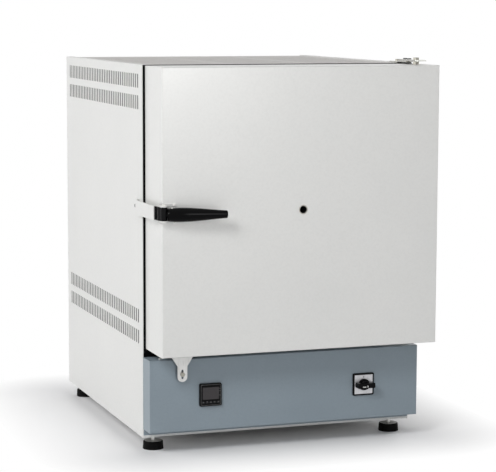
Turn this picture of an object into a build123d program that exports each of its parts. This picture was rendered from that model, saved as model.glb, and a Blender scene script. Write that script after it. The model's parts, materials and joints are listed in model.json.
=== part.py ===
from build123d import *

import os
from math import cos, radians, sin, sqrt

# Muffle furnace, millimetres. +Z is up, the front faces -Y and +X is to the right.
# The origin is on the floor, under the middle of the whole furnace.

# ------------------------------------------------------------------ driving sizes
fit = 0.3  # running or assembly gap between neighbours
sheet = 1.5  # folded sheet of the case, the door and the control panel
screw_r = 2.0  # shank of the small pan-head screws
screw_head_r = 3.6
screw_head_h = 2.2

# Case
case_w = 600.0
case_d = 636.0
case_h = 774.0  # side panels, bottom edge to top edge
foot_h = 30.0  # floor to the side panels' bottom edges
flange_w = 14.0  # folded edges of the side panels
frame_t = 2.0  # black front plate
lip_h = 4.5  # upturned edge of the base pan

# Vent slots
slot_w = 6.0
slot_h = 28.5
slot_pitch = 14.6
slot_first = 31.5  # case front to the first slot's centre
slot_row_pitch = 44.0
slot_top_drop = 33.5  # case top to the top row's centre
slot_low_rise = 209.0  # side panels' bottom edges to the lowest row's centre
top_slot_w = 6.0
top_slot_l = 150.0
top_slot_pitch = 36.0
top_slot_columns = 3
top_slot_column_pitch = 180.0
top_slot_first = 90.0
rear_slot_count = 20
rear_slot_pitch = 22.0

# Control panel
panel_h = 151.5
panel_d = 48.0
panel_rise = 19.5  # side panels' bottom edges to the control panel's
panel_inset = 0.5
panel_screw_in = 28.6  # case's side faces to the screws on the control panel's top
panel_screw_out = 29.0  # case front to them
control_rise = 74.5  # control panel's bottom to the controls' centre line
wiring_margin = 60.0  # front plate left standing round its wiring window

# Door
door_t = 117.0
door_gap = 6.0
door_left = 5.0  # case's left face to the door's
door_over = 7.0  # door's right face past the case's
door_drop = 1.3  # case top to the door's
door_rise = 189.7  # side panels' bottom edges to the door's
door_edge_r = 2.0  # folded edge round the door's front
plug_margin = 10.0  # mouth to the root of the door's plug, each side
plug_taper = 6.0
plug_depth = 28.0  # plug, from the door's back
port_r = 7.5
port_wall = 2.5

# Chamber
wall_t = 115.0
casing_side = 36.0  # insulation to the door's edge line, each side
casing_above = 26.5  # insulation to the door's edge line, above and below
casing_behind = 71.0  # insulation to the case's back
collar_d = 40.0
reveal = 8.0  # collar's face seen round the mouth
heater_rows = 6
heater_edge = 40.0  # chamber floor and roof to the outer rows
ribbon_w = 7.0
ribbon_t = 4.0
groove_w = 15.0
groove_d = 14.0
heater_start = 62.0  # case front to the nearest bend of the ribbon
lead_l = 25.0  # ribbon's tail behind the casing
hearth_t = 12.0
hearth_margin = 8.0
gasket_w = 14.0
gasket_margin = 12.0
gasket_r = 2.5
probe_r = 4.0
probe_l = 55.0  # thermocouple inside the chamber
probe_rise = 80.0
probe_head_r = 16.0
probe_head_l = 30.0

# Door hinge
pivot_out = 54.0  # case front to the hinge axis
swing_clear = 1.0  # door's rear corner to the case as it swings by
pivot_r = 4.0
pivot_clear = 0.05
bush_wall = 5.0
bush_l = 24.0
strap_w = 26.0
strap_t = 3.0
strap_lift = 2.2  # raised part of the top hinge above the case
strap_foot_back = 56.0
hinge_bolt_back = 42.0
strap_foot_front = 20.0
strap_joggle = 8.0
strap_base_front = 32.0  # base plate's front end, before the case front
arm_back = 12.0
arm_nose = 27.0  # hinge arm past the hinge axis
clamp_screws = (-2.0, 19.0)  # before the case front
foot_screw = 26.0  # behind the case front
clamp_screw_r = 4.4
clamp_screw_h = 2.0
bolt_r = 3.0
bolt_head_r = 5.5
bolt_head_h = 4.0
pivot_head_r = 7.0
pivot_head_h = 4.6
lower_leg_t = 4.0
lower_leg_w = 60.0
lower_leg_h = 11.0

# Latch
latch_x = 5.5  # case's left face to the lever's pivot
latch_out = 11.5  # door front to the lever's pivot
hub_r = 7.0
hub_lift = 2.0  # lever's middle above the grip's axis
lever_h = 27.0
lever_t = 2.5
lever_out = 10.2  # pivot to the outer face of the lever's arm
lever_elbow = 7.0  # pivot to the front end of the arm's straight part
lever_back = 29.0  # pivot to the arm's rear end
nose_front = 24.4  # pivot to the nose's catching face
nose_out = 2.8
latch_bolt_r = 2.5
latch_head_r = 4.2
latch_head_h = 3.0
ear_t = 2.5
bracket_w = 36.5
bracket_h = 38.0
bracket_t = 2.0
tab_screw_r = 1.5
tab_screw_head_r = 2.2
tab_screw_head_h = 1.4
tab_screw_in = 5.0  # bracket's end to its screw
grip_l = 128.0  # pivot to the grip's free end
grip_tilt = 10.0  # degrees away from the door
grip_root_r = 12.3
grip_shoulder = 17.0
grip_shoulder_r = 13.8
grip_r = 14.3
grip_belly = 28.0
grip_end_r = 7.7
grip_end_fillet = 2.0
tang_r = 5.0
tang_l = 55.0
grip_screw_at = 16.0
catch_gap = 8.0
catch_t = 2.0
catch_h = 29.0
catch_lift = 1.5
catch_foot_back = 55.0
catch_foot_front = 27.0
catch_joggle = 9.0
catch_clear = 0.4
strike_t = 2.5
strike_l = 2.0
strike_h = 22.0

# Tongue that works the door switch
tongue_x = 68.0
tongue_top_w = 62.0
tongue_w = 21.0
tongue_l = 64.0
tongue_neck = 31.2  # below the door, where the taper ends
tongue_flange = 32.0
tongue_off = 7.0  # control panel to the tongue
slot_screw_r = 2.0
tongue_slot_l = 20.0
tongue_slot_rise = 5.3  # slot's centre above the round end's
tongue_head_r = 5.0
plunger_r = 3.5
plunger_out = 3.0
switch_box = (24.0, 44.0, 30.0)

# Temperature controller
bezel = 48.0
bezel_t = 6.0
bezel_r = 3.0
controller_cut = 45.0
controller_body = 44.4
controller_l = 70.0
controller_x = 130.6
window_w = 35.4
window_h = 25.4
window_rise = 3.2
window_t = 1.0
key_w = 6.0
key_h = 4.4
key_t = 2.6
key_pitch = 8.2
key_drop = 15.6
key_clear = 0.25
key_travel = 0.6
key_count = 5

# Rotary switch
cam_x = 473.5
cam_frame = 48.0
cam_frame_t = 4.0
cam_plate = 41.0
cam_plate_t = 2.0
cam_neck_r = 11.0
cam_body = 44.0
cam_body_l = 52.0
knob_r = 12.5
knob_base_t = 3.0
knob_hub_r = 9.4
knob_hub_t = 9.0
knob_bar_l = 39.0
knob_bar_w = 11.0
knob_bar_t = 15.5
knob_shaft_r = 3.0
knob_shaft_l = 16.0

# Feet
pad_r = 21.8
pad_top_r = 20.8
pad_h = 17.0
stud_r = 4.0
stud_top = 52.0
stud_clear = 0.1
boss_r = 9.0
boss_h = 12.0
foot_in_x = 31.0
foot_in_front = 32.0
foot_in_back = 40.0

# Wiring compartment
gland_bore_r = 5.0
gland_body_r = 8.0
gland_hex_r = 13.0
gland_out = 22.0
gland_in = 12.0
gland_x = 80.0
gland_rise = 45.0
block_size = (96.0, 30.0, 26.0)
block_ways = 6
relay_size = (90.0, 80.0, 62.0)
relay_base_t = 7.0
relay_fins = 8
relay_fin_t = 2.5
relay_from_left = 160.0
relay_from_back = 140.0
block_from_right = 157.0
block_from_back = 100.0

# ------------------------------------------------------------------ derived places
door_w = case_w - door_left + door_over
door_h = case_h - door_drop - door_rise
chamber_w = door_w - 2 * (wall_t + casing_side)
chamber_h = door_h - 2 * (wall_t + casing_above)
chamber_d = case_d - wall_t - casing_behind
heater_pitch = (chamber_h - 2 * heater_edge) / (heater_rows - 1)
slot_count = int((case_d - 2 * slot_first) / slot_pitch) + 1
top_slot_rows = int((case_d - 2 * top_slot_first) / top_slot_pitch) + 1
door_right = door_left + door_w
lever_y = -door_gap - door_t - latch_out
grip_tip_y = (
    lever_y
    - (grip_l - grip_end_fillet) * sin(radians(grip_tilt))
    - (grip_end_r - grip_end_fillet) * cos(radians(grip_tilt))
    - grip_end_fillet
)
x0 = -(door_right - catch_gap - catch_t) / 2  # case's left face
y0 = -(case_d - sheet + gland_out + grip_tip_y) / 2  # case front
z0 = foot_h  # side panels' bottom edges
z_top = z0 + case_h
x1 = x0 + case_w
y1 = y0 + case_d
case_cx = x0 + case_w / 2
inner_w = case_w - 2 * sheet
pan_z = z0 + sheet
pan_top = pan_z + sheet
lip_top = pan_z + lip_h
cover_z = z_top - 2 * sheet
pan_back = y1 - sheet
rear_y = y1 - 2 * sheet

panel_z = z0 + panel_rise
panel_y = y0 - panel_d
control_z = panel_z + control_rise

door_x = x0 + door_left
door_cx = door_x + door_w / 2
door_top = z_top - door_drop
door_z = door_top - door_h
door_cz = door_z + door_h / 2
door_back = y0 - door_gap
door_front = door_back - door_t

collar_y = y0 + collar_d
chamber_back = y0 + chamber_d
wall_back = chamber_back + wall_t
casing_w = chamber_w + 2 * wall_t
casing_h = chamber_h + 2 * wall_t
chamber_z = door_cz - chamber_h / 2
plug_w = chamber_w - 2 * plug_margin
plug_h = chamber_h - 2 * plug_margin

pivot_y = y0 - pivot_out
pivot_inset = sqrt((pivot_out - swing_clear) ** 2 - (pivot_out - door_gap) ** 2)
pivot_x = door_x + door_w - pivot_inset
bush_r = pivot_r + bush_wall
arm_z = z_top + strap_lift + strap_t
lower_plate_z = door_z - fit - strap_t

latch_cx = x0 + latch_x
latch_cy = door_front - latch_out
latch_z = door_cz
lever_outer = latch_cx - lever_out
hub_z = latch_z + hub_lift
hub_top = hub_z + lever_h / 2
grip_start = hub_r + fit
catch_z = latch_z + catch_lift
catch_inner = x0 - catch_gap
strike_back = latch_cy + nose_front - catch_clear
catch_end = strike_back - strike_l
grip_axis = Plane(
    origin=(latch_cx, latch_cy, latch_z),
    x_dir=(0, 0, 1),
    z_dir=(cos(radians(grip_tilt)), -sin(radians(grip_tilt)), 0),
)

grip_half = Plane(
    origin=grip_axis.origin,
    x_dir=grip_axis.z_dir,
    z_dir=grip_axis.z_dir.cross(Vector(0, 0, 1)),
)
grip_screw_xy = (
    latch_cx + grip_screw_at * cos(radians(grip_tilt)),
    latch_cy - grip_screw_at * sin(radians(grip_tilt)),
)
grip_seat_z = latch_z + grip_root_r - screw_head_h

tongue_cx = x0 + tongue_x
tongue_front = panel_y - tongue_off - catch_t
tongue_round_z = door_z - tongue_l + tongue_w / 2
tongue_slot_z = tongue_round_z + tongue_slot_rise
plunger_z = tongue_slot_z

catch_screw_y = y0 + (catch_foot_front + catch_foot_back) / 2
hinge_bolt_y = y0 + hinge_bolt_back
foot_screw_y = y0 + foot_screw
edge_screw_xs = (x0 + flange_w / 2, x1 - flange_w / 2)
rear_screw_zs = (z0 + case_h / 4, z0 + case_h / 2, z_top - case_h / 4)
lip_screw_xs = (x0 + foot_in_x, x1 - foot_in_x)
panel_screws = [(x, y0 - panel_screw_out) for x in (x0 + panel_screw_in, x1 - panel_screw_in)]
lip_screw_z = (lip_top + panel_z) / 2
leg_screw_xs = (pivot_x + (strap_w - lower_leg_w) / 2, pivot_x)
leg_screw_z = lower_plate_z - lower_leg_h / 2
tab_screw_x = latch_cx - hub_r + bracket_w - tab_screw_in
tab_screw_rise = (lever_h + bracket_h) / 4 + fit

foot_xs = (x0 + foot_in_x, x1 - foot_in_x)
foot_ys = (y0 + foot_in_front, y1 - foot_in_back)
feet = {
    "foot_front_left": (foot_xs[0], foot_ys[0]),
    "foot_front_right": (foot_xs[1], foot_ys[0]),
    "foot_back_left": (foot_xs[0], foot_ys[1]),
    "foot_back_right": (foot_xs[1], foot_ys[1]),
}


# ------------------------------------------------------------------ helpers
def front(y):
    """Plane facing the front at this y: sketch x is +X, sketch y is +Z, extrusions go to -Y."""
    return Plane.XZ.offset(-y)


def side(x):
    """Plane facing right at this x: sketch x is +Y, sketch y is +Z, extrusions go to +X."""
    return Plane.YZ.offset(x)


def level(z):
    """Plane facing up at this height."""
    return Plane.XY.offset(z)


def write(piece, name):
    piece.part.label = name
    export_step(piece.part, f"parts/{name}.step")


def block(low, high, mode=Mode.ADD):
    """Straight-edged solid between two corners, inside the builder at work."""
    with BuildSketch(level(low[2])) as outline:
        with Locations(((low[0] + high[0]) / 2, (low[1] + high[1]) / 2)):
            Rectangle(high[0] - low[0], high[1] - low[1])
    extrude(outline.sketch, amount=high[2] - low[2], mode=mode)


def disc(plane, radius, length, at=(0, 0), mode=Mode.ADD):
    """Round bar that starts on a plane and follows its normal."""
    with BuildSketch(plane) as outline:
        with Locations(at):
            Circle(radius)
    extrude(outline.sketch, amount=length, mode=mode)


def hexagon(plane, radius, length, at=(0, 0)):
    with BuildSketch(plane) as outline:
        with Locations(at):
            RegularPolygon(radius, 6)
    extrude(outline.sketch, amount=length)


def pan_screw(face, shank, at):
    """Pan-head screw: the face plane is the sheet under its head, its normal points out."""
    disc(face, screw_head_r, screw_head_h, at)
    disc(face, screw_r, -shank, at)


os.makedirs("parts", exist_ok=True)

# ------------------------------------------------------------------ case shells
slot_centres = [
    (y0 + slot_first + i * slot_pitch, z)
    for z in (
        z_top - slot_top_drop,
        z_top - slot_top_drop - slot_row_pitch,
        z0 + slot_low_rise + slot_row_pitch,
        z0 + slot_low_rise,
    )
    for i in range(slot_count)
]

with BuildPart() as side_blank:
    with BuildSketch(side(x0)):
        with Locations((y0 + case_d / 2, z0 + case_h / 2)):
            Rectangle(case_d, case_h)
        with Locations(*slot_centres):
            Rectangle(slot_w, slot_h, mode=Mode.SUBTRACT)
    extrude(amount=sheet)
    with BuildSketch(side(x0 + sheet)):
        with Locations((y0 + (frame_t + case_d) / 2, z0 + case_h / 2)):
            Rectangle(case_d - frame_t, case_h)
        with Locations((y0 + (frame_t + case_d - sheet) / 2, z0 + case_h / 2)):
            Rectangle(case_d - frame_t - sheet, case_h - 2 * sheet, mode=Mode.SUBTRACT)
    extrude(amount=flange_w - sheet)
    for z in rear_screw_zs:
        disc(front(y1), screw_r, sheet, (x0 + flange_w / 2, z), mode=Mode.SUBTRACT)

with BuildPart() as left_side_panel:
    add(side_blank.part)
    disc(side(x0), screw_r, sheet, (catch_screw_y, catch_z), mode=Mode.SUBTRACT)
write(left_side_panel, "left_side_panel")

with BuildPart() as right_side_panel:
    mirror(side_blank.part, about=side(case_cx))
    disc(level(z_top), bolt_r, -sheet, (pivot_x, hinge_bolt_y), mode=Mode.SUBTRACT)
    disc(level(z_top), screw_r, -sheet, (pivot_x, foot_screw_y), mode=Mode.SUBTRACT)
write(right_side_panel, "right_side_panel")

with BuildPart() as top_cover:
    with BuildSketch(level(cover_z)):
        with Locations((case_cx, y0 + (frame_t + case_d - sheet) / 2)):
            Rectangle(inner_w, case_d - frame_t - sheet)
        with Locations((case_cx, y0 + top_slot_first + (top_slot_rows - 1) * top_slot_pitch / 2)):
            with GridLocations(top_slot_column_pitch, top_slot_pitch, top_slot_columns, top_slot_rows):
                Rectangle(top_slot_l, top_slot_w, mode=Mode.SUBTRACT)
        with Locations((pivot_x, hinge_bolt_y)):
            Circle(bolt_r, mode=Mode.SUBTRACT)
        with Locations((pivot_x, foot_screw_y)):
            Circle(screw_r, mode=Mode.SUBTRACT)
    extrude(amount=sheet)
write(top_cover, "top_cover")

rear_slot_zs = (z_top - slot_top_drop - slot_row_pitch / 2, z0 + slot_low_rise - slot_row_pitch / 2)
gland_at = (x1 - gland_x, pan_z + gland_rise)

with BuildPart() as rear_panel:
    with BuildSketch(front(pan_back)):
        with Locations((case_cx, (lip_top + cover_z) / 2)):
            Rectangle(inner_w, cover_z - lip_top)
        for z in rear_slot_zs:
            with Locations((case_cx, z)):
                with GridLocations(rear_slot_pitch, 1, rear_slot_count, 1):
                    Rectangle(slot_w, slot_h, mode=Mode.SUBTRACT)
        with Locations(gland_at):
            Circle(gland_body_r, mode=Mode.SUBTRACT)
        with Locations(*[(x, z) for x in edge_screw_xs for z in rear_screw_zs]):
            Circle(screw_r, mode=Mode.SUBTRACT)
    extrude(amount=sheet)
write(rear_panel, "rear_panel")

with BuildPart() as base_pan:
    block((x0 + sheet, y0 - sheet, pan_z), (x1 - sheet, pan_back, lip_top))
    block(
        (x0 + 2 * sheet, y0, pan_top),
        (x1 - 2 * sheet, rear_y, lip_top),
        mode=Mode.SUBTRACT,
    )
    for foot_at in feet.values():
        disc(level(pan_top), boss_r, boss_h, foot_at)
        disc(level(pan_z), stud_r + stud_clear, boss_h + sheet, foot_at, mode=Mode.SUBTRACT)
write(base_pan, "base_pan")

# Black front plate with the chamber's mouth and a window for the control wiring
with BuildPart() as front_frame:
    with BuildSketch(front(y0 + frame_t)):
        with Locations((case_cx, (lip_top + z_top) / 2)):
            Rectangle(inner_w, z_top - lip_top)
        with Locations((door_cx, door_cz)):
            Rectangle(chamber_w + 2 * reveal, chamber_h + 2 * reveal, mode=Mode.SUBTRACT)
        with Locations((case_cx, panel_z + panel_h / 2)):
            Rectangle(case_w - 2 * wiring_margin, panel_h - 2 * flange_w, mode=Mode.SUBTRACT)
        with Locations(*[(x, lip_screw_z) for x in lip_screw_xs]):
            Circle(screw_r, mode=Mode.SUBTRACT)
        with Locations(*[(x, leg_screw_z) for x in leg_screw_xs]):
            Circle(screw_r, mode=Mode.SUBTRACT)
    extrude(amount=frame_t)
    block((x0 + sheet, y0 + frame_t, cover_z - sheet), (x1 - sheet, y0 + flange_w, cover_z))
write(front_frame, "front_frame")

# Control panel: folded box, open at the back, with a flange down to the base pan's lip
controller_cx = x0 + controller_x
cam_cx = x0 + cam_x

with BuildPart() as control_panel:
    block(
        (x0 + panel_inset, panel_y, panel_z),
        (x1 - panel_inset, y0, panel_z + panel_h),
    )
    fillet(control_panel.faces().sort_by(Axis.Y)[0].edges(), radius=sheet)
    block(
        (x0 + panel_inset + sheet, panel_y + sheet, panel_z + sheet),
        (x1 - panel_inset - sheet, y0, panel_z + panel_h - sheet),
        mode=Mode.SUBTRACT,
    )
    block((x0 + sheet, y0 - sheet, lip_top), (x1 - sheet, y0, panel_z))
    with BuildSketch(front(panel_y + sheet)):
        with Locations((controller_cx, control_z)):
            Rectangle(controller_cut, controller_cut)
        with Locations((cam_cx, control_z)):
            Circle(cam_neck_r + fit)
        with Locations((tongue_cx, plunger_z)):
            Circle(plunger_r + fit)
    extrude(amount=sheet, mode=Mode.SUBTRACT)
    for x in lip_screw_xs:
        disc(front(y0), screw_r, sheet, (x, lip_screw_z), mode=Mode.SUBTRACT)
    for screw_at in panel_screws:
        disc(level(panel_z + panel_h), screw_r, -sheet, screw_at, mode=Mode.SUBTRACT)
write(control_panel, "control_panel")

# ------------------------------------------------------------------ chamber
heater_z0 = door_cz - (heater_rows - 1) * heater_pitch / 2
heater_near = y0 + heater_start
heater_far = chamber_back - heater_start + collar_d
heater_lead_end = wall_back + sheet + lead_l
ribbon_depth = groove_d - ribbon_t / 2


def heater_path(x):
    """Serpentine of the heating ribbon in the plane at x, both tails leaving at the back."""
    points = [(heater_lead_end, heater_z0)]
    for row in range(heater_rows):
        z = heater_z0 + row * heater_pitch
        end = heater_near if row % 2 == 0 else heater_far
        if row == heater_rows - 1:
            points.append((heater_lead_end, z))
        else:
            points.append((end, z))
            points.append((end, z + heater_pitch))
    return [(x, y, z) for y, z in points]


def sweep_serpentine(x, across, deep, mode=Mode.ADD):
    """Rectangular section along the serpentine, rounded at every bend."""
    with BuildLine() as path:
        FilletPolyline(*heater_path(x), radius=heater_pitch / 2 - fit)
    with BuildSketch(Plane(path.line @ 0, x_dir=(1, 0, 0), z_dir=path.line % 0)) as section:
        Rectangle(deep, across)
    sweep(section.sketch, path=path.line, mode=mode)


with BuildPart() as insulation_casing:
    block(
        (door_cx - casing_w / 2 - sheet, y0 + frame_t, door_cz - casing_h / 2 - sheet),
        (door_cx + casing_w / 2 + sheet, wall_back + sheet, door_cz + casing_h / 2 + sheet),
    )
    block(
        (door_cx - casing_w / 2 - flange_w, y0 + frame_t, door_cz - casing_h / 2 - flange_w),
        (door_cx + casing_w / 2 + flange_w, y0 + frame_t + sheet, door_cz + casing_h / 2 + flange_w),
    )
    block(
        (door_cx - casing_w / 2, y0 + frame_t, door_cz - casing_h / 2),
        (door_cx + casing_w / 2, wall_back, door_cz + casing_h / 2),
        mode=Mode.SUBTRACT,
    )
    tails = [
        (door_cx + s * (chamber_w / 2 + ribbon_depth), heater_z0 + r * heater_pitch)
        for s in (-1, 1)
        for r in (0, heater_rows - 1)
    ]
    with BuildSketch(front(wall_back + sheet)):
        with Locations(*tails):
            Circle(groove_w / 2)
        with Locations((door_cx, chamber_z + chamber_h / 2 + probe_rise)):
            Circle(probe_r + fit)
    extrude(amount=sheet, mode=Mode.SUBTRACT)
write(insulation_casing, "insulation_casing")

with BuildPart() as mouth_collar:
    with BuildSketch(front(collar_y)):
        with Locations((door_cx, door_cz)):
            Rectangle(casing_w, casing_h)
            Rectangle(chamber_w, chamber_h, mode=Mode.SUBTRACT)
    extrude(amount=collar_d - frame_t)
write(mouth_collar, "mouth_collar")

with BuildPart() as chamber_floor:
    block(
        (door_cx - casing_w / 2, collar_y, door_cz - casing_h / 2),
        (door_cx + casing_w / 2, chamber_back, chamber_z),
    )
write(chamber_floor, "chamber_floor")

with BuildPart() as chamber_roof:
    mirror(chamber_floor.part, about=level(door_cz))
write(chamber_roof, "chamber_roof")

with BuildPart() as chamber_left_wall:
    block(
        (door_cx - casing_w / 2, collar_y, chamber_z),
        (door_cx - chamber_w / 2, chamber_back, chamber_z + chamber_h),
    )
    sweep_serpentine(door_cx - chamber_w / 2 - groove_d / 2, groove_w, groove_d, Mode.SUBTRACT)
write(chamber_left_wall, "chamber_left_wall")

with BuildPart() as chamber_right_wall:
    mirror(chamber_left_wall.part, about=side(door_cx))
write(chamber_right_wall, "chamber_right_wall")

with BuildPart() as chamber_back_wall:
    block(
        (door_cx - casing_w / 2, chamber_back, door_cz - casing_h / 2),
        (door_cx + casing_w / 2, wall_back, door_cz + casing_h / 2),
    )
    with BuildSketch(front(wall_back)):
        with Locations(*tails):
            Circle(groove_w / 2)
        with Locations((door_cx, door_cz + probe_rise)):
            Circle(probe_r + fit)
    extrude(amount=wall_t, mode=Mode.SUBTRACT)
write(chamber_back_wall, "chamber_back_wall")

with BuildPart() as heating_elements:
    sweep_serpentine(door_cx - chamber_w / 2 - ribbon_depth, ribbon_w, ribbon_t)
    mirror(heating_elements.part, about=side(door_cx))
write(heating_elements, "heating_elements")

with BuildPart() as hearth_plate:
    block(
        (door_cx - chamber_w / 2 + hearth_margin, collar_y + hearth_margin, chamber_z),
        (door_cx + chamber_w / 2 - hearth_margin, chamber_back - hearth_margin, chamber_z + hearth_t),
    )
    chamfer(hearth_plate.faces().sort_by(Axis.Z)[-1].edges(), length=hearth_t / 6)
write(hearth_plate, "hearth_plate")

with BuildPart() as thermocouple:
    disc(
        front(wall_back + sheet),
        probe_r,
        wall_t + sheet + probe_l,
        (door_cx, door_cz + probe_rise),
    )
    disc(
        front(wall_back + sheet + probe_head_l),
        probe_head_r,
        probe_head_l,
        (door_cx, door_cz + probe_rise),
    )
    fillet(thermocouple.faces().sort_by(Axis.Y)[0].edges(), radius=probe_r / 2)
write(thermocouple, "thermocouple")

# Rope gasket round the mouth, on the front plate
with BuildPart() as door_gasket:
    with BuildSketch(front(y0)):
        with Locations((door_cx, door_cz)):
            ring_w = chamber_w + 2 * (reveal + gasket_margin)
            ring_h = chamber_h + 2 * (reveal + gasket_margin)
            RectangleRounded(ring_w + 2 * gasket_w, ring_h + 2 * gasket_w, gasket_w)
            Rectangle(ring_w, ring_h, mode=Mode.SUBTRACT)
    extrude(amount=door_gap - fit)
    fillet(door_gasket.faces().sort_by(Axis.Y)[0].edges(), radius=gasket_r)
write(door_gasket, "door_gasket")

# ------------------------------------------------------------------ door
with BuildPart() as door_shell:
    block((door_x, door_front, door_z), (door_x + door_w, door_back, door_top))
    fillet(door_shell.faces().sort_by(Axis.Y)[0].edges(), radius=door_edge_r)
    block(
        (door_x + sheet, door_front + sheet, door_z + sheet),
        (door_x + door_w - sheet, door_back, door_top - sheet),
        mode=Mode.SUBTRACT,
    )
    disc(front(door_back), port_r + port_wall, door_t, (door_cx, door_cz), mode=Mode.SUBTRACT)
    disc(level(door_z), bush_r, door_h, (pivot_x, pivot_y), mode=Mode.SUBTRACT)
    for rise in (-tab_screw_rise, tab_screw_rise):
        disc(front(door_front + sheet), tab_screw_r, sheet, (tab_screw_x, hub_z + rise), mode=Mode.SUBTRACT)
write(door_shell, "door_shell")

with BuildPart() as door_back_plate:
    with BuildSketch(front(door_back)):
        with Locations((door_cx, door_cz)):
            Rectangle(door_w - 2 * sheet, door_h - 2 * sheet)
            Rectangle(plug_w + 2 * fit, plug_h + 2 * fit, mode=Mode.SUBTRACT)
    extrude(amount=sheet)
write(door_back_plate, "door_back_plate")

# Fibre slab that fills the door, with the tapered plug that enters the mouth
with BuildPart() as door_insulation:
    block(
        (door_x + sheet, door_front + sheet, door_z + sheet),
        (door_x + door_w - sheet, door_back - sheet, door_top - sheet),
    )
    with BuildSketch(front(door_back - sheet)) as plug_root:
        with Locations((door_cx, door_cz)):
            Rectangle(plug_w, plug_h)
    with BuildSketch(front(door_back + plug_depth)) as plug_tip:
        with Locations((door_cx, door_cz)):
            Rectangle(plug_w - 2 * plug_taper, plug_h - 2 * plug_taper)
    loft(sections=[plug_root.sketch, plug_tip.sketch])
    disc(
        front(door_back + plug_depth),
        port_r + port_wall,
        door_t + plug_depth,
        (door_cx, door_cz),
        mode=Mode.SUBTRACT,
    )
    for z in (door_z, door_top - bush_l):
        disc(level(z), bush_r, bush_l, (pivot_x, pivot_y), mode=Mode.SUBTRACT)
write(door_insulation, "door_insulation")

with BuildPart() as door_port_tube:
    with BuildSketch(front(door_back + plug_depth)):
        with Locations((door_cx, door_cz)):
            Circle(port_r + port_wall)
            Circle(port_r, mode=Mode.SUBTRACT)
    extrude(amount=door_t + plug_depth)
write(door_port_tube, "door_port_tube")

with BuildPart() as hinge_bushes:
    for z in (door_z, door_top - bush_l):
        disc(level(z), bush_r, bush_l, (pivot_x, pivot_y))
    disc(level(door_z), pivot_r + pivot_clear, door_h, (pivot_x, pivot_y), mode=Mode.SUBTRACT)
write(hinge_bushes, "hinge_bushes")

# Tongue: hangs under the door in front of the control panel, slotted for its screw
with BuildPart() as switch_tongue:
    with BuildSketch(front(tongue_front + catch_t)):
        with BuildLine():
            Polyline(
                (tongue_cx - tongue_w / 2, tongue_round_z),
                (tongue_cx - tongue_w / 2, door_z - tongue_neck),
                (tongue_cx - tongue_top_w / 2, door_z),
                (tongue_cx + tongue_top_w / 2, door_z),
                (tongue_cx + tongue_w / 2, door_z - tongue_neck),
                (tongue_cx + tongue_w / 2, tongue_round_z),
            )
            ThreePointArc(
                (tongue_cx + tongue_w / 2, tongue_round_z),
                (tongue_cx, tongue_round_z - tongue_w / 2),
                (tongue_cx - tongue_w / 2, tongue_round_z),
            )
        make_face()
        with Locations((tongue_cx, tongue_slot_z)):
            SlotOverall(tongue_slot_l, 2 * slot_screw_r + fit, rotation=90, mode=Mode.SUBTRACT)
    extrude(amount=catch_t)
    block(
        (tongue_cx - tongue_top_w / 2, tongue_front - tongue_flange, door_z - catch_t),
        (tongue_cx + tongue_top_w / 2, tongue_front, door_z),
    )
write(switch_tongue, "switch_tongue")

with BuildPart() as tongue_screw:
    screw_at = (tongue_cx, plunger_z)
    hexagon(front(tongue_front), tongue_head_r, screw_head_h + 1, screw_at)
    disc(front(tongue_front), slot_screw_r, -(catch_t + tongue_off - plunger_out - fit), screw_at)
    hexagon(front(tongue_front + catch_t), tongue_head_r, -screw_head_h, screw_at)
write(tongue_screw, "tongue_screw")

# ------------------------------------------------------------------ hinges
with BuildPart() as top_hinge_base:
    with BuildSketch(side(pivot_x - strap_w / 2)):
        with BuildLine():
            Polyline(
                (y0 + strap_foot_back, z_top),
                (y0 + strap_foot_front, z_top),
                (y0 + strap_foot_front - strap_joggle, z_top + strap_lift),
                (y0 - strap_base_front, z_top + strap_lift),
                (y0 - strap_base_front, z_top + strap_lift + strap_t),
                (y0 + strap_foot_front - strap_joggle, z_top + strap_lift + strap_t),
                (y0 + strap_foot_front, z_top + strap_t),
                (y0 + strap_foot_back, z_top + strap_t),
                close=True,
            )
        make_face()
    extrude(amount=strap_w)
    for y in clamp_screws:
        disc(level(z_top), screw_r, strap_lift + strap_t, (pivot_x, y0 - y), mode=Mode.SUBTRACT)
    disc(level(z_top), bolt_r, strap_t, (pivot_x, hinge_bolt_y), mode=Mode.SUBTRACT)
    disc(level(z_top), screw_r, strap_t, (pivot_x, foot_screw_y), mode=Mode.SUBTRACT)
write(top_hinge_base, "top_hinge_base")

with BuildPart() as top_hinge_arm:
    block(
        (pivot_x - strap_w / 2, pivot_y - arm_nose, arm_z),
        (pivot_x + strap_w / 2, y0 + arm_back, arm_z + strap_t),
    )
    fillet(top_hinge_arm.edges().filter_by(Axis.Z), radius=strap_w / 6)
    with BuildSketch(level(arm_z)):
        with Locations(*[(pivot_x, y0 - y) for y in clamp_screws]):
            SlotOverall(4 * screw_r, 2 * screw_r, rotation=90)
        with Locations((pivot_x, pivot_y)):
            Circle(pivot_r)
    extrude(amount=strap_t, mode=Mode.SUBTRACT)
write(top_hinge_arm, "top_hinge_arm")

with BuildPart() as hinge_screws:
    for y in clamp_screws:
        disc(level(arm_z + strap_t), clamp_screw_r, clamp_screw_h, (pivot_x, y0 - y))
        disc(level(arm_z + strap_t), screw_r, -2 * strap_t, (pivot_x, y0 - y))
        hexagon(level(arm_z - strap_t), clamp_screw_r, -screw_head_h, (pivot_x, y0 - y))
    disc(level(z_top + strap_t), clamp_screw_r, clamp_screw_h, (pivot_x, foot_screw_y))
    disc(level(z_top + strap_t), screw_r, -(strap_t + 2 * sheet), (pivot_x, foot_screw_y))
write(hinge_screws, "hinge_screws")

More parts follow.
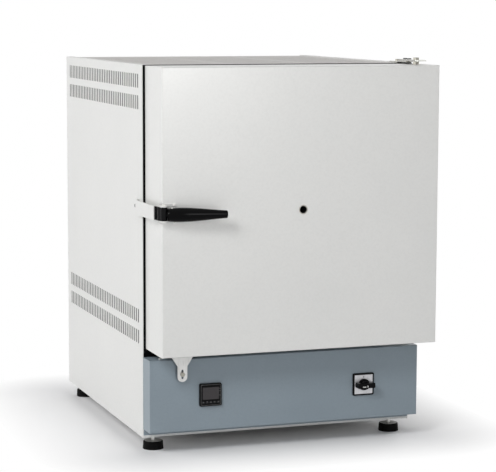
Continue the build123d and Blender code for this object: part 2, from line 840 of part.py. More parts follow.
with BuildPart() as top_pivot_bolt:
    pivot_at = (pivot_x, pivot_y)
    hexagon(level(arm_z + strap_t), pivot_head_r, pivot_head_h, pivot_at)
    disc(level(arm_z + strap_t), pivot_r, -(arm_z + strap_t - door_top + bush_l - fit), pivot_at)
    hexagon(level(arm_z), pivot_head_r, -(arm_z - door_top - fit), pivot_at)
write(top_pivot_bolt, "top_pivot_bolt")

with BuildPart() as bottom_hinge_bracket:
    block(
        (pivot_x + strap_w / 2 - lower_leg_w, y0 - lower_leg_t, lower_plate_z - lower_leg_h),
        (pivot_x + strap_w / 2, y0, lower_plate_z + strap_t),
    )
    for x in leg_screw_xs:
        disc(front(y0), screw_r, lower_leg_t, (x, leg_screw_z), mode=Mode.SUBTRACT)
    block(
        (pivot_x - strap_w / 2, pivot_y - strap_w / 2, lower_plate_z),
        (pivot_x + strap_w / 2, y0 - lower_leg_t, lower_plate_z + strap_t),
    )
    disc(level(lower_plate_z + strap_t), pivot_r, bush_l, (pivot_x, pivot_y))
write(bottom_hinge_bracket, "bottom_hinge_bracket")

# ------------------------------------------------------------------ latch
with BuildPart() as catch_bracket:
    with BuildSketch(level(catch_z - catch_h / 2)):
        with BuildLine():
            Polyline(
                (x0, y0 + catch_foot_back),
                (x0, y0 + catch_foot_front),
                (catch_inner, y0 + catch_foot_front - catch_joggle),
                (catch_inner, catch_end),
                (catch_inner - catch_t, catch_end),
                (catch_inner - catch_t, y0 + catch_foot_front - catch_joggle),
                (x0 - catch_t, y0 + catch_foot_front),
                (x0 - catch_t, y0 + catch_foot_back),
                close=True,
            )
        make_face()
    extrude(amount=catch_h)
    disc(side(x0 - catch_t), screw_r, catch_t, (catch_screw_y, catch_z), mode=Mode.SUBTRACT)
write(catch_bracket, "catch_bracket")

# Hardened strike bar inside the catch's front end, and the screw through its foot
with BuildPart() as catch_hardware:
    block(
        (catch_inner, catch_end, catch_z - strike_h / 2),
        (catch_inner + strike_t, strike_back, catch_z + strike_h / 2),
    )
    disc(side(x0 - catch_t), screw_head_r, -screw_head_h, (catch_screw_y, catch_z))
    disc(side(x0 - catch_t), screw_r, catch_t + sheet, (catch_screw_y, catch_z))
write(catch_hardware, "catch_hardware")

# Latch bracket: an angle above the lever and its mirror below, each an ear and a tab
with BuildPart() as latch_bracket:
    with BuildSketch(level(hub_top + fit)):
        with Locations((latch_cx, latch_cy)):
            Circle(hub_r)
        with Locations((latch_cx, (latch_cy + door_front) / 2)):
            Rectangle(2 * hub_r, door_front - latch_cy)
        with Locations((latch_cx, latch_cy)):
            Circle(latch_bolt_r, mode=Mode.SUBTRACT)
    extrude(amount=ear_t)
    block(
        (latch_cx - hub_r, door_front - bracket_t, hub_top + fit),
        (latch_cx - hub_r + bracket_w, door_front, hub_z + bracket_h / 2),
    )
    disc(
        front(door_front),
        tab_screw_r,
        bracket_t,
        (tab_screw_x, hub_z + tab_screw_rise),
        mode=Mode.SUBTRACT,
    )
    mirror(latch_bracket.part, about=level(hub_z))
write(latch_bracket, "latch_bracket")

with BuildPart() as latch_screws:
    for rise in (-tab_screw_rise, tab_screw_rise):
        tab_at = (tab_screw_x, hub_z + rise)
        disc(front(door_front - bracket_t), tab_screw_head_r, tab_screw_head_h, tab_at)
        disc(front(door_front - bracket_t), tab_screw_r, -(bracket_t + sheet), tab_at)
write(latch_screws, "latch_screws")

with BuildPart() as latch_pivot_bolt:
    bolt_top = hub_top + fit + ear_t
    bolt_low = hub_top - lever_h - fit - ear_t
    hexagon(level(bolt_top), latch_head_r, latch_head_h, (latch_cx, latch_cy))
    disc(level(bolt_top), latch_bolt_r, bolt_low - bolt_top, (latch_cx, latch_cy))
    disc(level(bolt_low), latch_head_r, -latch_head_h / 3, (latch_cx, latch_cy))
write(latch_pivot_bolt, "latch_pivot_bolt")

# Lever: hub on the pivot, cranked arm with its nose beside the door, tang into the grip
lever_inner = lever_outer + lever_t
lever_rear = latch_cy + lever_back
nose_y = latch_cy + nose_front
with BuildPart() as latch_lever:
    with BuildSketch(level(hub_top - lever_h)):
        with Locations((latch_cx, latch_cy)):
            Circle(hub_r)
        with BuildLine():
            Polyline(
                (latch_cx, latch_cy),
                (latch_cx - hub_r, latch_cy),
                (lever_outer, latch_cy + lever_elbow),
                (lever_outer, nose_y),
                (lever_outer - nose_out, nose_y),
                (lever_outer - nose_out / 2, lever_rear),
                (lever_inner, lever_rear),
                (lever_inner, latch_cy + lever_elbow),
                close=True,
            )
        make_face()
    extrude(amount=lever_h)
    with BuildSketch(grip_axis):
        Circle(tang_r)
    extrude(amount=tang_l)
    with BuildSketch(level(hub_top - lever_h)):
        with Locations((latch_cx, latch_cy)):
            Circle(latch_bolt_r + pivot_clear)
    extrude(amount=lever_h, mode=Mode.SUBTRACT)
    disc(level(latch_z), screw_r, tang_r, grip_screw_xy, mode=Mode.SUBTRACT)
write(latch_lever, "latch_lever")

# Grip: turned handle on the tang, thickest near its root
with BuildPart() as handle_grip:
    with BuildSketch(grip_half):
        with BuildLine():
            Polyline(
                (grip_start, grip_root_r),
                (grip_start, tang_r),
                (tang_l, tang_r),
                (tang_l, 0),
                (grip_l, 0),
                (grip_l, grip_end_r),
            )
            Spline(
                (grip_l, grip_end_r),
                (grip_belly, grip_r),
                (grip_shoulder, grip_shoulder_r),
                (grip_start, grip_root_r),
                tangents=[(-1, 0.06), (-1, -0.35)],
            )
        make_face()
    revolve(axis=Axis(grip_axis.origin, grip_axis.z_dir))
    fillet(handle_grip.edges().filter_by(GeomType.CIRCLE).sort_by(Axis.X)[-1], radius=grip_end_fillet)
    disc(level(grip_seat_z), screw_head_r, grip_r, grip_screw_xy, mode=Mode.SUBTRACT)
    disc(level(latch_z), screw_r, grip_r, grip_screw_xy, mode=Mode.SUBTRACT)
write(handle_grip, "handle_grip")

with BuildPart() as grip_screw:
    disc(level(grip_seat_z), screw_head_r, 2 * screw_head_h, grip_screw_xy)
    disc(level(grip_seat_z), screw_r, latch_z - grip_seat_z, grip_screw_xy)
write(grip_screw, "grip_screw")

# ------------------------------------------------------------------ controls
window_z = control_z + window_rise
key_z = control_z - key_drop
key_xs = [controller_cx + (i - (key_count - 1) / 2) * key_pitch for i in range(key_count)]
bezel_front = panel_y - bezel_t

with BuildPart() as controller_housing:
    with BuildSketch(front(panel_y)):
        with Locations((controller_cx, control_z)):
            RectangleRounded(bezel, bezel, bezel_r)
    extrude(amount=bezel_t)
    fillet(controller_housing.faces().sort_by(Axis.Y)[0].edges(), radius=bezel_t / 4)
    block(
        (controller_cx - controller_body / 2, panel_y, control_z - controller_body / 2),
        (controller_cx + controller_body / 2, panel_y + controller_l, control_z + controller_body / 2),
    )
    with BuildSketch(front(bezel_front + window_t)):
        with Locations((controller_cx, window_z)):
            Rectangle(window_w, window_h)
    extrude(amount=window_t, mode=Mode.SUBTRACT)
    with BuildSketch(front(bezel_front + key_t + key_travel)):
        with Locations(*[(x, key_z) for x in key_xs]):
            Rectangle(key_w + 2 * key_clear, key_h + 2 * key_clear)
    extrude(amount=key_t + key_travel, mode=Mode.SUBTRACT)
write(controller_housing, "controller_housing")

with BuildPart() as controller_window:
    with BuildSketch(front(bezel_front + window_t)):
        with Locations((controller_cx, window_z)):
            Rectangle(window_w, window_h)
    extrude(amount=window_t)
write(controller_window, "controller_window")

for number, x in enumerate(key_xs, start=1):
    with BuildPart() as key:
        with BuildSketch(front(bezel_front + key_t - fit)):
            with Locations((x, key_z)):
                RectangleRounded(key_w, key_h, key_w / 8)
        extrude(amount=key_t)
        fillet(key.faces().sort_by(Axis.Y)[0].edges(), radius=fit)
    write(key, f"key_{number}")

cam_at = (cam_cx, control_z)
cam_front = panel_y - cam_frame_t
plate_front = cam_front - cam_plate_t / 2

with BuildPart() as switch_frame:
    with BuildSketch(front(panel_y)):
        with Locations(cam_at):
            RectangleRounded(cam_frame, cam_frame, bezel_r)
    extrude(amount=cam_frame_t)
    fillet(switch_frame.faces().sort_by(Axis.Y)[0].edges(), radius=cam_frame_t / 4)
    with BuildSketch(front(cam_front + cam_plate_t / 2)):
        with Locations(cam_at):
            Rectangle(cam_plate, cam_plate)
    extrude(amount=cam_plate_t / 2, mode=Mode.SUBTRACT)
    disc(front(panel_y), cam_neck_r, cam_frame_t, cam_at, mode=Mode.SUBTRACT)
write(switch_frame, "switch_frame")

with BuildPart() as switch_plate:
    with BuildSketch(front(cam_front + cam_plate_t / 2)):
        with Locations(cam_at):
            Rectangle(cam_plate, cam_plate)
            Circle(knob_shaft_r + fit, mode=Mode.SUBTRACT)
    extrude(amount=cam_plate_t)
    chamfer(switch_plate.faces().sort_by(Axis.Y)[0].outer_wire().edges(), length=cam_plate_t / 5)
write(switch_plate, "switch_plate")

# Switch body: neck through the panel, contact block behind, bore for the knob's shaft
with BuildPart() as switch_body:
    disc(
        front(panel_y + sheet + cam_plate_t),
        cam_neck_r,
        sheet + cam_plate_t / 2 + cam_frame_t,
        cam_at,
    )
    block(
        (cam_cx - cam_body / 2, panel_y + sheet, control_z - cam_body / 2),
        (cam_cx + cam_body / 2, panel_y + sheet + cam_body_l, control_z + cam_body / 2),
    )
    disc(
        front(plate_front + knob_shaft_l),
        knob_shaft_r + pivot_clear,
        knob_shaft_l,
        cam_at,
        mode=Mode.SUBTRACT,
    )
write(switch_body, "switch_body")

knob_back = plate_front - fit
with BuildPart() as switch_knob:
    disc(front(knob_back), knob_r, knob_base_t, cam_at)
    disc(front(knob_back - knob_base_t), knob_hub_r, knob_hub_t, cam_at)
    with BuildSketch(front(knob_back - knob_base_t)):
        with Locations(cam_at):
            RectangleRounded(knob_bar_l, knob_bar_w, knob_bar_w / 6)
    extrude(amount=knob_bar_t)
    fillet(switch_knob.faces().sort_by(Axis.Y)[0].edges(), radius=knob_bar_w / 10)
    disc(front(knob_back), knob_shaft_r, -(knob_shaft_l - 2 * fit), cam_at)
write(switch_knob, "switch_knob")

with BuildPart() as switch_plunger:
    disc(
        front(panel_y + sheet + switch_box[1] / 2),
        plunger_r,
        sheet + switch_box[1] / 2 + plunger_out,
        (tongue_cx, plunger_z),
    )
    fillet(switch_plunger.faces().sort_by(Axis.Y)[0].edges(), radius=plunger_r / 4)
write(switch_plunger, "switch_plunger")

with BuildPart() as door_switch_body:
    block(
        (tongue_cx - switch_box[0] / 2, panel_y + sheet, plunger_z - switch_box[2] / 2),
        (tongue_cx + switch_box[0] / 2, panel_y + sheet + switch_box[1], plunger_z + switch_box[2] / 2),
    )
    disc(
        front(panel_y + sheet + switch_box[1] / 2 + 2 * plunger_out),
        plunger_r + pivot_clear,
        switch_box[1] / 2 + 2 * plunger_out,
        (tongue_cx, plunger_z),
        mode=Mode.SUBTRACT,
    )
write(door_switch_body, "door_switch_body")

# ------------------------------------------------------------------ feet
for name, foot_at in feet.items():
    with BuildPart() as foot:
        with BuildSketch(level(0)):
            with Locations(foot_at):
                Circle(pad_r)
        with BuildSketch(level(pad_h)):
            with Locations(foot_at):
                Circle(pad_top_r)
        loft()
        fillet(foot.faces().sort_by(Axis.Z)[-1].edges(), radius=pad_h / 6)
        disc(level(pad_h), stud_r, stud_top - pad_h, foot_at)
    write(foot, name)

# ------------------------------------------------------------------ wiring compartment
with BuildPart() as cable_gland:
    hexagon(front(pan_back), gland_hex_r, -(gland_out / 2 - sheet), gland_at)
    disc(front(pan_back), gland_hex_r * 0.8, -gland_out, gland_at)
    disc(front(pan_back), gland_body_r, sheet + gland_in, gland_at)
    hexagon(front(rear_y), gland_hex_r, gland_in / 2, gland_at)
    disc(
        front(pan_back + gland_out),
        gland_bore_r,
        gland_out + sheet + gland_in,
        gland_at,
        mode=Mode.SUBTRACT,
    )
write(cable_gland, "cable_gland")

block_x = x1 - block_from_right
block_y = rear_y - block_from_back
with BuildPart() as terminal_block:
    block(
        (block_x, block_y, pan_top),
        (block_x + block_size[0], block_y + block_size[1], pan_top + block_size[2]),
    )
    way = block_size[0] / block_ways
    with BuildSketch(level(pan_top + block_size[2])):
        with Locations((block_x + block_size[0] / 2, block_y + block_size[1] / 2)):
            with GridLocations(way, block_size[1] / 2, block_ways, 2):
                Circle(way / 4)
    extrude(amount=-block_size[2] / 3, mode=Mode.SUBTRACT)
    with BuildSketch(level(pan_top + block_size[2])):
        with Locations((block_x + block_size[0] / 2, block_y + block_size[1] / 2)):
            with GridLocations(way, 1, block_ways - 1, 1):
                Rectangle(fit * 4, block_size[1])
    extrude(amount=-block_size[2] / 6, mode=Mode.SUBTRACT)
write(terminal_block, "terminal_block")

relay_x = x0 + relay_from_left
relay_y = rear_y - relay_from_back
fin_pitch = (relay_size[0] - relay_fin_t) / (relay_fins - 1)
with BuildPart() as power_relay:
    block(
        (relay_x, relay_y, pan_top),
        (relay_x + relay_size[0], relay_y + relay_size[1], pan_top + relay_base_t),
    )
    for i in range(relay_fins):
        fin_x = relay_x + i * fin_pitch
        block(
            (fin_x, relay_y, pan_top + relay_base_t),
            (fin_x + relay_fin_t, relay_y + relay_size[1], pan_top + relay_size[2]),
        )
    block(
        (relay_x + relay_size[0] / 4, relay_y - relay_size[1] / 4, pan_top),
        (relay_x + 3 * relay_size[0] / 4, relay_y, pan_top + relay_size[2]),
    )
write(power_relay, "power_relay")

# ------------------------------------------------------------------ case screws
with BuildPart() as case_screws:
    for x in lip_screw_xs:
        pan_screw(front(y0 - sheet), sheet + frame_t, (x, lip_screw_z))
    for x in leg_screw_xs:
        pan_screw(front(y0 - lower_leg_t), lower_leg_t + frame_t, (x, leg_screw_z))
    for screw_at in panel_screws:
        disc(level(panel_z + panel_h), screw_head_r, screw_head_h, screw_at)
        disc(level(panel_z + panel_h), screw_r, -3 * sheet, screw_at)
    for x in edge_screw_xs:
        for z in rear_screw_zs:
            disc(front(y1), screw_head_r, -screw_head_h, (x, z))
            disc(front(y1), screw_r, 2 * sheet, (x, z))
write(case_screws, "case_screws")

with BuildPart() as hinge_bolt:
    hexagon(level(z_top + strap_t), bolt_head_r, bolt_head_h, (pivot_x, hinge_bolt_y))
    disc(level(z_top + strap_t), bolt_r, -(strap_t + 2 * sheet + bolt_head_h), (pivot_x, hinge_bolt_y))
    hexagon(level(cover_z), bolt_head_r, -bolt_head_h, (pivot_x, hinge_bolt_y))
write(hinge_bolt, "hinge_bolt")
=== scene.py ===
import json
import math
import random

import bmesh
import bpy
from mathutils import Matrix, Vector

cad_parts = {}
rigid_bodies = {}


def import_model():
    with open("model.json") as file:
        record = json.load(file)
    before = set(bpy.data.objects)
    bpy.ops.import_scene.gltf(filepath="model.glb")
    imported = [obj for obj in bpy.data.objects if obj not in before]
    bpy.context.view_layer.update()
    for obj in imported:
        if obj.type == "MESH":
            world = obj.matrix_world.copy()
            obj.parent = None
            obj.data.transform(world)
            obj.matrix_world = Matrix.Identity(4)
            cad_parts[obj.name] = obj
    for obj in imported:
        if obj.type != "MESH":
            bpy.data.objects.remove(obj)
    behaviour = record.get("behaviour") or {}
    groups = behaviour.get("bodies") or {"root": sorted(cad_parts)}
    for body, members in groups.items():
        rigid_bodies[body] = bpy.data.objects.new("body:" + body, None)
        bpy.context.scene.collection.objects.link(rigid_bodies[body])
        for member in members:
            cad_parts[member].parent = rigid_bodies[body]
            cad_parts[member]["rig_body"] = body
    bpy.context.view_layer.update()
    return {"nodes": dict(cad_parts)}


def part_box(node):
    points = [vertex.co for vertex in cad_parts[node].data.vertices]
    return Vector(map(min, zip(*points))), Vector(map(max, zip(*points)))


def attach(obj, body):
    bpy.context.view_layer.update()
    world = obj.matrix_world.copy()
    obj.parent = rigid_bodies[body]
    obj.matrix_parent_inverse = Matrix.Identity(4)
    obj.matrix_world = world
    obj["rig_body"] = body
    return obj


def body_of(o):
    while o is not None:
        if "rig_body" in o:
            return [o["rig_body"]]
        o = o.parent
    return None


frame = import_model()
nodes = frame["nodes"]
MM = 0.001
scene = bpy.context.scene
scene.view_settings.view_transform = "Standard"
random.seed(7)

# ------------------------------------------------------------------ camera
IMAGE_W, IMAGE_H = 496, 472
FOCAL_PX = 1874.9
CENTRE_PX = (243.16, 235.40)
CAMERA_AT = (-1.3611, -3.9217, 0.9250)
YAW, PITCH, ROLL = 0.3355, 0.1222, -0.0031


def photo_camera():
    forward = Vector(
        (math.sin(YAW) * math.cos(PITCH), math.cos(YAW) * math.cos(PITCH), -math.sin(PITCH))
    )
    right = Vector((math.cos(YAW), -math.sin(YAW), 0.0))
    down = forward.cross(right)
    rolled_right = right * math.cos(ROLL) + down * math.sin(ROLL)
    rolled_down = down * math.cos(ROLL) - right * math.sin(ROLL)
    axes = Matrix((rolled_right, -rolled_down, -forward)).transposed()
    data = bpy.data.cameras.new("photo_camera")
    data.sensor_fit = "HORIZONTAL"
    data.sensor_width = 36.0
    data.lens = FOCAL_PX / IMAGE_W * data.sensor_width
    data.shift_x = (IMAGE_W / 2 - CENTRE_PX[0]) / IMAGE_W
    data.shift_y = (CENTRE_PX[1] - IMAGE_H / 2) / IMAGE_W
    data.clip_end = 50.0
    camera = bpy.data.objects.new("photo_camera", data)
    camera.matrix_world = Matrix.Translation(CAMERA_AT) @ axes.to_4x4()
    scene.collection.objects.link(camera)
    scene.camera = camera


photo_camera()


# ------------------------------------------------------------------ materials
MATH = "ShaderNodeMath"
VECTOR_MATH = "ShaderNodeVectorMath"
WHITE = (0.800, 0.800, 0.782)
BLUR = 0.1 * MM  # over which one finish gives way to the next on the same piece
PAD_TOP = 17.0 * MM  # floor to the top of a foot's rubber pad
PORT_R = 7.5 * MM  # bore of the door's port tube
FOLD_CLEAR = 20.0 * MM  # side panel's front and rear edges to where slots may start


def combine(tree, kind, operation, *inputs):
    """A Math or VectorMath node on sockets or constants; returns its result."""
    node = tree.nodes.new(kind)
    node.operation = operation
    for socket, value in zip(node.inputs, inputs):
        if isinstance(value, bpy.types.NodeSocket):
            tree.links.new(value, socket)
        else:
            socket.default_value = value
    is_number = kind == MATH or operation == "LENGTH"
    return node.outputs["Value" if is_number else "Vector"]


class Recipe:
    """A procedural material being built up: tints, roughness and bumps over one base colour."""

    def __init__(self, name, colour, roughness, metallic=0.0):
        self.material = bpy.data.materials.new(name)
        self.material.use_nodes = True
        self.tree = self.material.node_tree
        self.shader = self.tree.nodes["Principled BSDF"]
        self.shader.inputs["Roughness"].default_value = roughness
        self.shader.inputs["Metallic"].default_value = metallic
        self.colour = self.tree.nodes.new("ShaderNodeRGB").outputs[0]
        self.colour.default_value = (*colour, 1.0)
        self.normal = None
        coordinates = self.tree.nodes.new("ShaderNodeTexCoord")
        self.place = coordinates.outputs["Object"]
        self.facing = coordinates.outputs["Normal"]
        self.link(self.colour, self.shader.inputs["Base Color"])

    def link(self, a, b):
        self.tree.links.new(a, b)

    def part_of(self, vector, axis):
        """One component, "X", "Y" or "Z", of a vector socket."""
        node = self.tree.nodes.new("ShaderNodeSeparateXYZ")
        self.link(vector, node.inputs["Vector"])
        return node.outputs[axis]

    def noise(self, scale, detail=4.0, stretch=None, rough=0.55):
        """Noise at so many features per metre, stretched if asked; returns its 0..1 output."""
        source = self.place
        if stretch:
            mapping = self.tree.nodes.new("ShaderNodeMapping")
            mapping.inputs["Scale"].default_value = stretch
            self.link(source, mapping.inputs["Vector"])
            source = mapping.outputs["Vector"]
        texture = self.tree.nodes.new("ShaderNodeTexNoise")
        texture.inputs["Scale"].default_value = scale
        texture.inputs["Detail"].default_value = detail
        texture.inputs["Roughness"].default_value = rough
        self.link(source, texture.inputs["Vector"])
        return texture.outputs["Fac"]

    def ramp(self, value, low, high, to_low=0.0, to_high=1.0):
        """Maps a value from low..high to to_low..to_high and clamps it."""
        node = self.tree.nodes.new("ShaderNodeMapRange")
        node.inputs["From Min"].default_value = low
        node.inputs["From Max"].default_value = high
        node.inputs["To Min"].default_value = to_low
        node.inputs["To Max"].default_value = to_high
        self.link(value, node.inputs["Value"])
        return node.outputs["Result"]

    def tint(self, value, colour):
        """Mixes a second colour in by a 0..1 value."""
        node = self.tree.nodes.new("ShaderNodeMix")
        node.data_type = "RGBA"
        self.link(value, node.inputs["Factor"])
        self.link(self.colour, node.inputs[6])
        node.inputs[7].default_value = (*colour, 1.0)
        self.colour = node.outputs[2]
        self.link(self.colour, self.shader.inputs["Base Color"])
        return self

    def rough(self, value, low, high):
        """Roughness from low to high as the value goes from 0 to 1."""
        self.link(self.ramp(value, 0.0, 1.0, low, high), self.shader.inputs["Roughness"])
        return self

    def bump(self, value, depth_mm, strength=1.0):
        """Raises the surface by the value, on top of the bumps it already has."""
        node = self.tree.nodes.new("ShaderNodeBump")
        node.inputs["Strength"].default_value = strength
        node.inputs["Distance"].default_value = depth_mm * MM
        self.link(value, node.inputs["Height"])
        if self.normal is not None:
            self.link(self.normal, node.inputs["Normal"])
        self.normal = node.outputs["Normal"]
        self.link(self.normal, self.shader.inputs["Normal"])
        return self

    def set(self, **sockets):
        """Sets constants on the shader's own sockets, named with _ for a space."""
        for name, value in sockets.items():
            self.shader.inputs[name.replace("_", " ")].default_value = value
        return self


def darker(colour, share):
    return tuple(share * channel for channel in colour)


def powder_coat(name, colour, shade, roughness, peel_mm=0.006, cloud=0.5, metallic=0.0):
    """Powder coat: fine orange peel, faint clouds of tone and faint flecks."""
    recipe = Recipe(name, colour, roughness, metallic)
    peel = recipe.noise(700.0, 3.0)
    clouds = recipe.noise(5.0, 5.0)
    fleck = recipe.noise(210.0, 2.0)
    recipe.tint(recipe.ramp(clouds, 0.35, 0.70, 0.0, cloud), shade)
    recipe.tint(recipe.ramp(fleck, 0.40, 0.75, 0.0, 0.25), darker(shade, 0.90))
    recipe.rough(clouds, roughness - 0.03, roughness + 0.05)
    recipe.bump(recipe.noise(9.0, 2.0), 0.10, 0.15)
    return recipe.bump(peel, peel_mm)


def metal(name, colour, shade, roughness, brushed=(1.0, 1.0, 1.0), metallic=1.0):
    """Plated, rolled or painted metal: blotches, and streaks fine along the larger numbers."""
    recipe = Recipe(name, colour, roughness, metallic)
    blotch = recipe.noise(38.0, 5.0)
    recipe.tint(recipe.ramp(blotch, 0.40, 0.68, 0.0, 0.7), shade)
    streak = recipe.noise(420.0, 4.0, stretch=brushed)
    recipe.tint(recipe.ramp(streak, 0.48, 0.70, 0.0, 0.35), darker(shade, 0.7))
    recipe.rough(streak, max(roughness - 0.08, 0.05), roughness + 0.12)
    return recipe.bump(streak, 0.012)


def plastic(name, colour, shade, roughness, grain_mm=0.02, specular=0.5):
    """Moulded plastic: spark-eroded grain, finger marks that change the gloss."""
    recipe = Recipe(name, colour, roughness)
    grain = recipe.noise(2400.0, 2.0)
    marks = recipe.noise(70.0, 4.0)
    recipe.tint(recipe.ramp(marks, 0.45, 0.75, 0.0, 0.6), shade)
    recipe.rough(marks, max(roughness - 0.07, 0.04), roughness + 0.10)
    recipe.set(Specular_IOR_Level=specular)
    return recipe.bump(grain, grain_mm)


def grip_finish():
    """Hard black phenolic, polished, with the pebbled skin of its mould."""
    black, shade = (0.0012, 0.0012, 0.0015), (0.002, 0.002, 0.002)
    recipe = plastic("grip_bakelite", black, shade, 0.11, grain_mm=0.003, specular=0.07)
    return recipe.bump(recipe.noise(480.0, 2.0), 0.02, 0.6)


def fibre(name, colour, shade):
    """Vacuum-formed ceramic fibre: matted strands, pits and paler lumps."""
    recipe = Recipe(name, colour, 0.95)
    lumps = recipe.noise(60.0, 6.0, rough=0.7)
    strands = recipe.noise(900.0, 5.0, stretch=(1.0, 3.0, 1.4), rough=0.75)
    recipe.tint(recipe.ramp(lumps, 0.40, 0.66, 0.0, 0.8), shade)
    recipe.tint(recipe.ramp(strands, 0.55, 0.75, 0.0, 0.35), darker(shade, 0.82))
    recipe.bump(lumps, 0.6, 0.5)
    return recipe.bump(strands, 0.18)


def braid(name, colour, shade):
    """Braided fibre rope: two sets of slanted plaits over the fibre's own fluff."""
    recipe = fibre(name, colour, shade)
    for slant in (45.0, -45.0):
        turned = recipe.tree.nodes.new("ShaderNodeMapping")
        turned.inputs["Rotation"].default_value = (0.0, math.radians(slant), 0.0)
        recipe.link(recipe.place, turned.inputs["Vector"])
        plait = recipe.tree.nodes.new("ShaderNodeTexWave")
        plait.inputs["Scale"].default_value = 55.0
        plait.inputs["Distortion"].default_value = 1.2
        recipe.link(turned.outputs["Vector"], plait.inputs["Vector"])
        recipe.tint(recipe.ramp(plait.outputs["Fac"], 0.0, 0.35, 0.35, 0.0), darker(shade, 0.6))
        recipe.bump(plait.outputs["Fac"], 0.5, 0.6)
    return recipe


def foot_finish():
    """Black rubber pad, with its zinc stud and nut above it."""
    recipe = Recipe("foot_rubber", (0.003, 0.003, 0.003), 0.62)
    dust = recipe.noise(120.0, 5.0, rough=0.7)
    recipe.tint(recipe.ramp(dust, 0.55, 0.80, 0.0, 0.20), (0.03, 0.03, 0.029))
    above = recipe.ramp(recipe.part_of(recipe.place, "Z"), PAD_TOP - BLUR, PAD_TOP + BLUR)
    recipe.tint(above, (0.66, 0.66, 0.64))
    recipe.link(above, recipe.shader.inputs["Metallic"])
    recipe.rough(above, 0.60, 0.30)
    recipe.set(Specular_IOR_Level=0.06)
    return recipe.bump(recipe.noise(1500.0, 3.0), 0.03)


def port_finish():
    """Pale fired tube, its bore painted near-black as painted shade; the bore runs along Y."""
    pale, shade = (0.60, 0.58, 0.53), (0.52, 0.49, 0.44)
    recipe = plastic("port_tube", pale, shade, 0.5, grain_mm=0.04)
    low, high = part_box("door_port_tube")
    middle = (low + high) / 2
    offset = combine(recipe.tree, VECTOR_MATH, "SUBTRACT", recipe.place, middle)
    across_bore = combine(recipe.tree, VECTOR_MATH, "MULTIPLY", offset, (1.0, 0.0, 1.0))
    radius = combine(recipe.tree, VECTOR_MATH, "LENGTH", across_bore)
    # Painted shade: the bore's wall is tinted near-black to stand in for the shade in the hole.
    inside = recipe.ramp(radius, PORT_R + BLUR, PORT_R + 4 * BLUR, 1.0, 0.0)
    return recipe.tint(inside, (0.008, 0.008, 0.008))


def slotted_finish():
    """White powder coat, with painted shade on the walls of the vent slots.

    Those walls face along Y, and the folded edges that do so too are left white.
    """
    recipe = powder_coat("slotted_coat", WHITE, (0.770, 0.772, 0.757), 0.36)
    low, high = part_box("left_side_panel")
    first, last = low.y + FOLD_CLEAR, high.y - FOLD_CLEAR
    along = combine(recipe.tree, MATH, "ABSOLUTE", recipe.part_of(recipe.facing, "Y"))
    depth = recipe.part_of(recipe.place, "Y")
    wall = recipe.ramp(along, 0.55, 0.75)
    behind_front = recipe.ramp(depth, first, first + BLUR)
    before_back = recipe.ramp(depth, last - BLUR, last, 1.0, 0.0)
    wall_behind_front = combine(recipe.tree, MATH, "MULTIPLY", wall, behind_front)
    painted_slot_shade = combine(recipe.tree, MATH, "MULTIPLY", wall_behind_front, before_back)
    # Painted shade: the slot walls are tinted dark grey to stand in for the shade in the slots.
    return recipe.tint(painted_slot_shade, (0.16, 0.16, 0.155))


slotted_white = slotted_finish()
white = powder_coat("white_coat", WHITE, (0.770, 0.772, 0.757), 0.36)
# The door's roughness stays above 0.25: the denoiser smudges a surface that crosses that.
door_white = powder_coat(
    "door_coat", WHITE, (0.765, 0.768, 0.752), 0.29, peel_mm=0.004, cloud=0.6, metallic=0.20
)
slate = powder_coat("slate_coat", (0.266, 0.322, 0.366), (0.238, 0.292, 0.334), 0.38, cloud=0.7)
black_coat = powder_coat("black_coat", (0.002, 0.002, 0.0025), (0.004, 0.004, 0.0045), 0.5)
black_coat.set(Specular_IOR_Level=0.04)
cover = metal(
    "cover_sheet", (0.52, 0.50, 0.48), (0.44, 0.42, 0.41), 0.42,
    brushed=(1.0, 14.0, 1.0), metallic=0.35,
)
zinc = metal("zinc_plate", (0.74, 0.74, 0.71), (0.60, 0.60, 0.56), 0.24)
dull_zinc = metal("dull_zinc_plate", (0.34, 0.33, 0.29), (0.24, 0.23, 0.20), 0.30)
galvanised = metal(
    "galvanised", (0.66, 0.66, 0.65), (0.56, 0.56, 0.55), 0.33,
    brushed=(1.0, 1.0, 0.12), metallic=0.75,
)
# Painted shade: the insulation casing's sheet is near-black so that the vent slots in front of it read
# dark.
shaded_casing_sheet = metal(
    "casing_sheet", (0.06, 0.06, 0.058), (0.04, 0.04, 0.04), 0.5,
    brushed=(1.0, 1.0, 9.0), metallic=0.5,
)
sheet_steel = metal(
    "rolled_sheet", (0.42, 0.42, 0.41), (0.34, 0.35, 0.35), 0.42,
    brushed=(1.0, 1.0, 9.0), metallic=0.8,
)
black_steel = metal("black_steel", (0.020, 0.020, 0.022), (0.032, 0.032, 0.034), 0.34, metallic=0.3)
lever_black = metal("lever_coat", (0.003, 0.003, 0.004), (0.006, 0.006, 0.006), 0.18, metallic=0.0)
lever_black.set(Specular_IOR_Level=0.10)
bronze = metal("bronze", (0.60, 0.42, 0.22), (0.45, 0.30, 0.15), 0.34)
element = metal("heater_ribbon", (0.19, 0.16, 0.14), (0.12, 0.10, 0.09), 0.55)
silver = metal(
    "switch_plate_silver", (0.60, 0.60, 0.62), (0.52, 0.52, 0.54), 0.36,
    brushed=(1.0, 1.0, 0.15), metallic=0.7,
)
sink = metal("heat_sink", (0.58, 0.59, 0.60), (0.48, 0.49, 0.50), 0.36, brushed=(1.0, 8.0, 1.0))
insulation = fibre("fibre_board", (0.80, 0.78, 0.72), (0.70, 0.67, 0.60))
gasket = braid("rope_gasket", (0.72, 0.70, 0.65), (0.58, 0.55, 0.49))
hearth = fibre("hearth_ceramic", (0.66, 0.61, 0.52), (0.52, 0.47, 0.39))
ceramic_tube = plastic(
    "ceramic_tube", (0.74, 0.71, 0.64), (0.64, 0.60, 0.53), 0.55, grain_mm=0.05
)
port_tube = port_finish()
